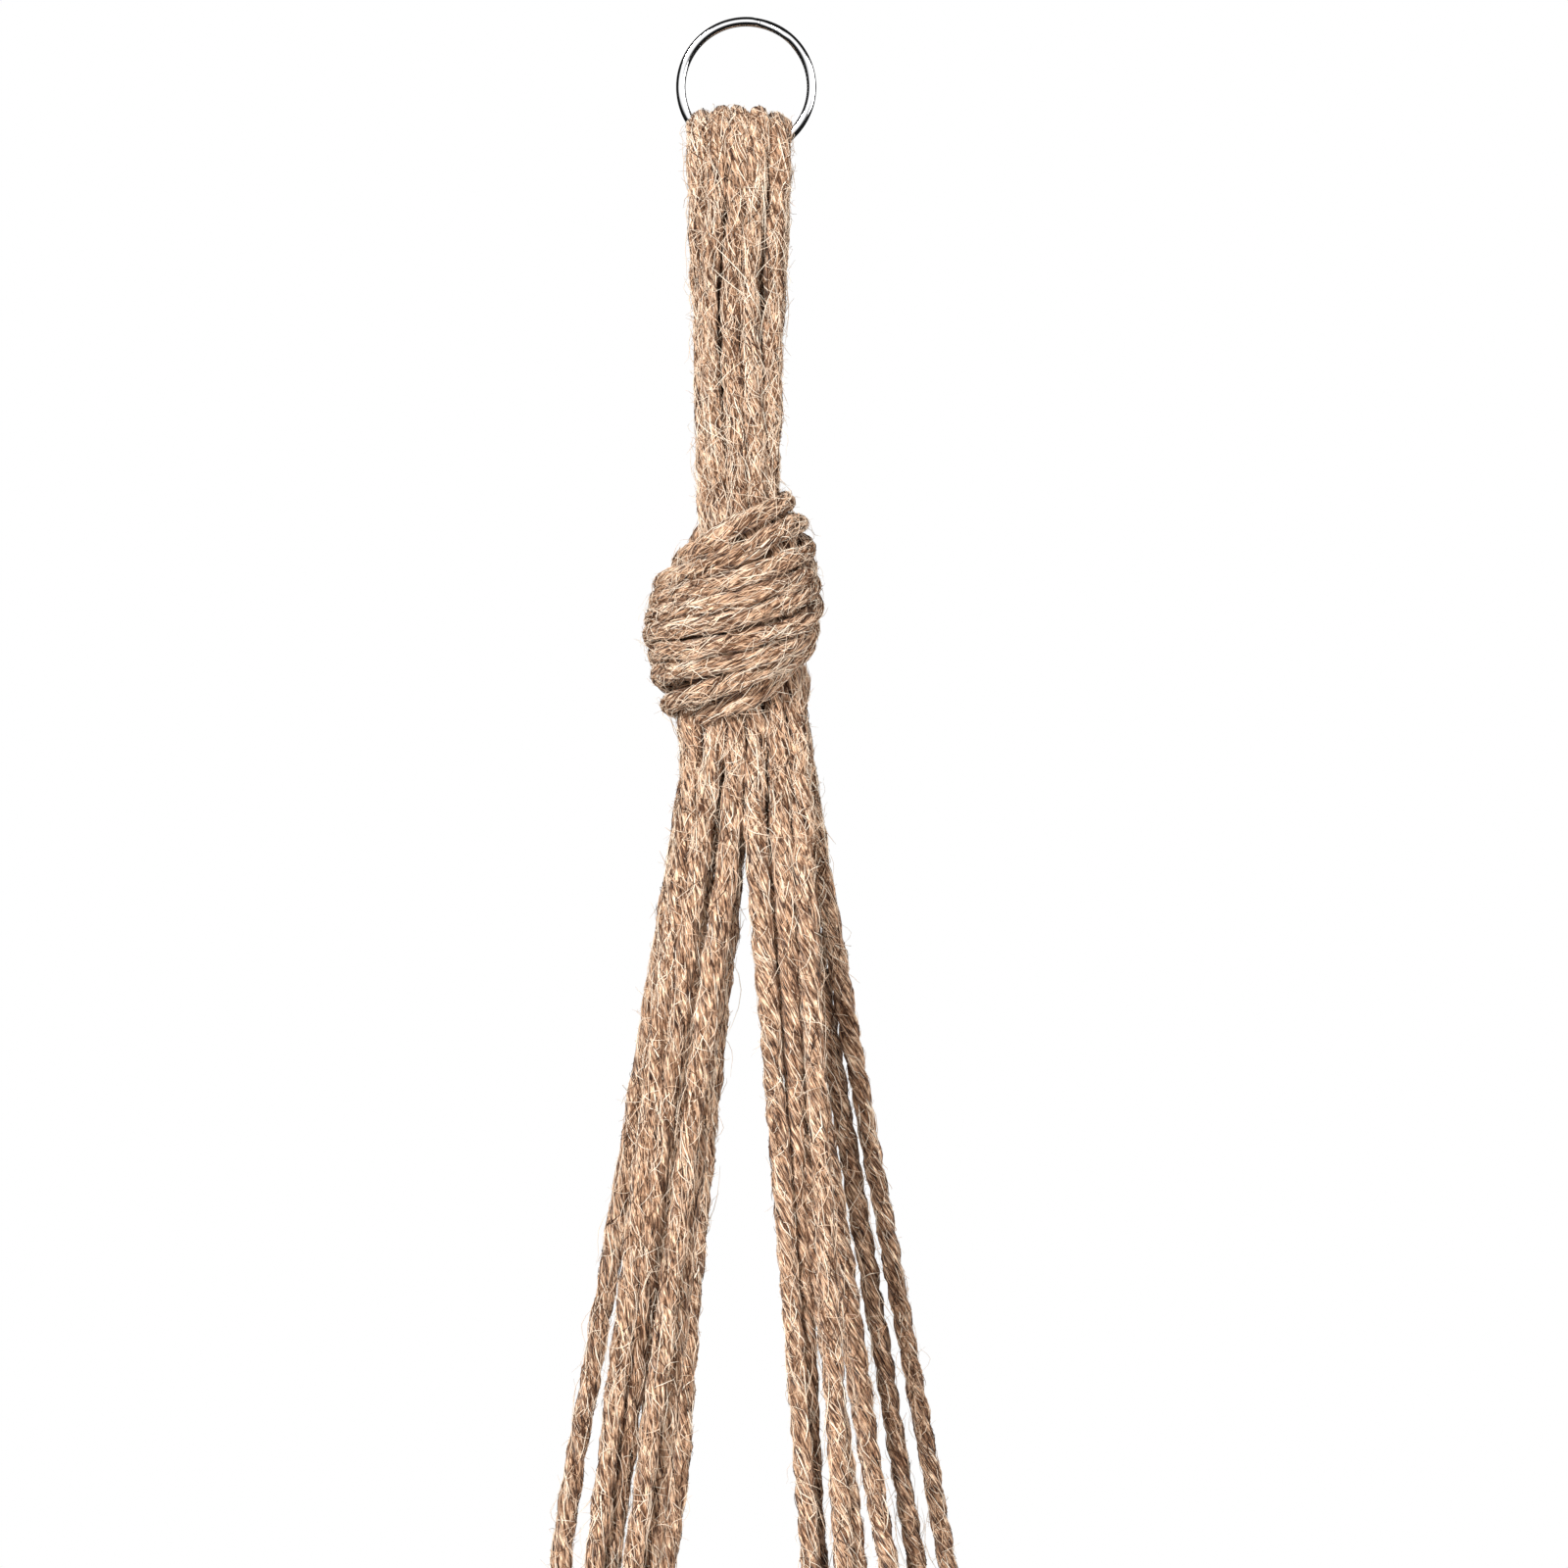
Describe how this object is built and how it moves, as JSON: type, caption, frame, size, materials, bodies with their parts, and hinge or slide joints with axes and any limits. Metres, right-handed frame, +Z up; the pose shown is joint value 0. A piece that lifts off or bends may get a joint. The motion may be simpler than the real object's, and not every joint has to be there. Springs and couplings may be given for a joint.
{
  "type": "hanging macrame planter",
  "caption": "Jute macrame plant hanger: a metal split ring carries folded cords, tied in a large top knot, that part into legs and close in a knotted net with a tassel under the pot.",
  "frame": {"origin": "inner top of the split ring, where a hook carries it", "axes": "+Z up along the hanger, -Y to the front, +X to the right seen from the front"},
  "size_m": [0.1518, 0.1549, 0.8755],
  "materials": {
    "steel": "polished nickel plate",
    "jute": "three-ply laid jute cord, matte and hairy"
  },
  "bodies": {
    "ring": {"split_ring": "steel"},
    "band": {"cord_1_fold": "jute", "cord_2_fold": "jute", "cord_3_fold": "jute", "cord_4_fold": "jute", "cord_5_fold": "jute", "cord_6_fold": "jute", "cord_7_fold": "jute", "cord_8_fold": "jute"},
    "hanger": {"top_knot": "jute", "leg_front_right_strand_1": "jute", "leg_front_right_strand_2": "jute", "leg_front_right_strand_3": "jute", "leg_front_right_strand_4": "jute", "leg_back_right_strand_1": "jute", "leg_back_right_strand_2": "jute", "leg_back_right_strand_3": "jute", "leg_back_right_strand_4": "jute", "leg_back_left_strand_1": "jute", "leg_back_left_strand_2": "jute", "leg_back_left_strand_3": "jute", "leg_back_left_strand_4": "jute", "leg_front_left_strand_1": "jute", "leg_front_left_strand_2": "jute", "leg_front_left_strand_3": "jute", "leg_front_left_strand_4": "jute", "leg_front_right_knot": "jute", "leg_back_right_knot": "jute", "leg_back_left_knot": "jute", "leg_front_left_knot": "jute", "net_front_right_to_back_right_pair_1": "jute", "net_front_right_to_back_right_pair_2": "jute", "net_back_right_to_back_left_pair_1": "jute", "net_back_right_to_back_left_pair_2": "jute", "net_back_left_to_front_left_pair_1": "jute", "net_back_left_to_front_left_pair_2": "jute", "net_front_left_to_front_right_pair_1": "jute", "net_front_left_to_front_right_pair_2": "jute", "net_front_right_to_back_right_knot": "jute", "net_back_right_to_back_left_knot": "jute", "net_back_left_to_front_left_knot": "jute", "net_front_left_to_front_right_knot": "jute", "cradle_bundle_1": "jute", "cradle_bundle_2": "jute", "cradle_bundle_3": "jute", "cradle_bundle_4": "jute", "gather_knot": "jute"},
    "tassel": {"cord_1_ends": "jute", "cord_2_ends": "jute", "cord_3_ends": "jute", "cord_4_ends": "jute", "cord_5_ends": "jute", "cord_6_ends": "jute", "cord_7_ends": "jute", "cord_8_ends": "jute"}
  },
  "joints": [
    {"name": "ring_swing", "type": "hinge", "parent": "ring", "child": "band", "pos_m": [0, 0, -0.0266], "axis": [1, 0, 0], "range_deg": [-40, 40]},
    {"name": "band_twist", "type": "hinge", "parent": "band", "child": "hanger", "pos_m": [-0.0017, 0, -0.104], "axis": [0, 0, 1], "range_deg": [-90, 90], "stiffness_Nm_per_rad": 0.02},
    {"name": "tassel_swing", "type": "hinge", "parent": "hanger", "child": "tassel", "pos_m": [0, 0, -0.706], "axis": [1, 0, 0], "range_deg": [-40, 40]}
  ]
}
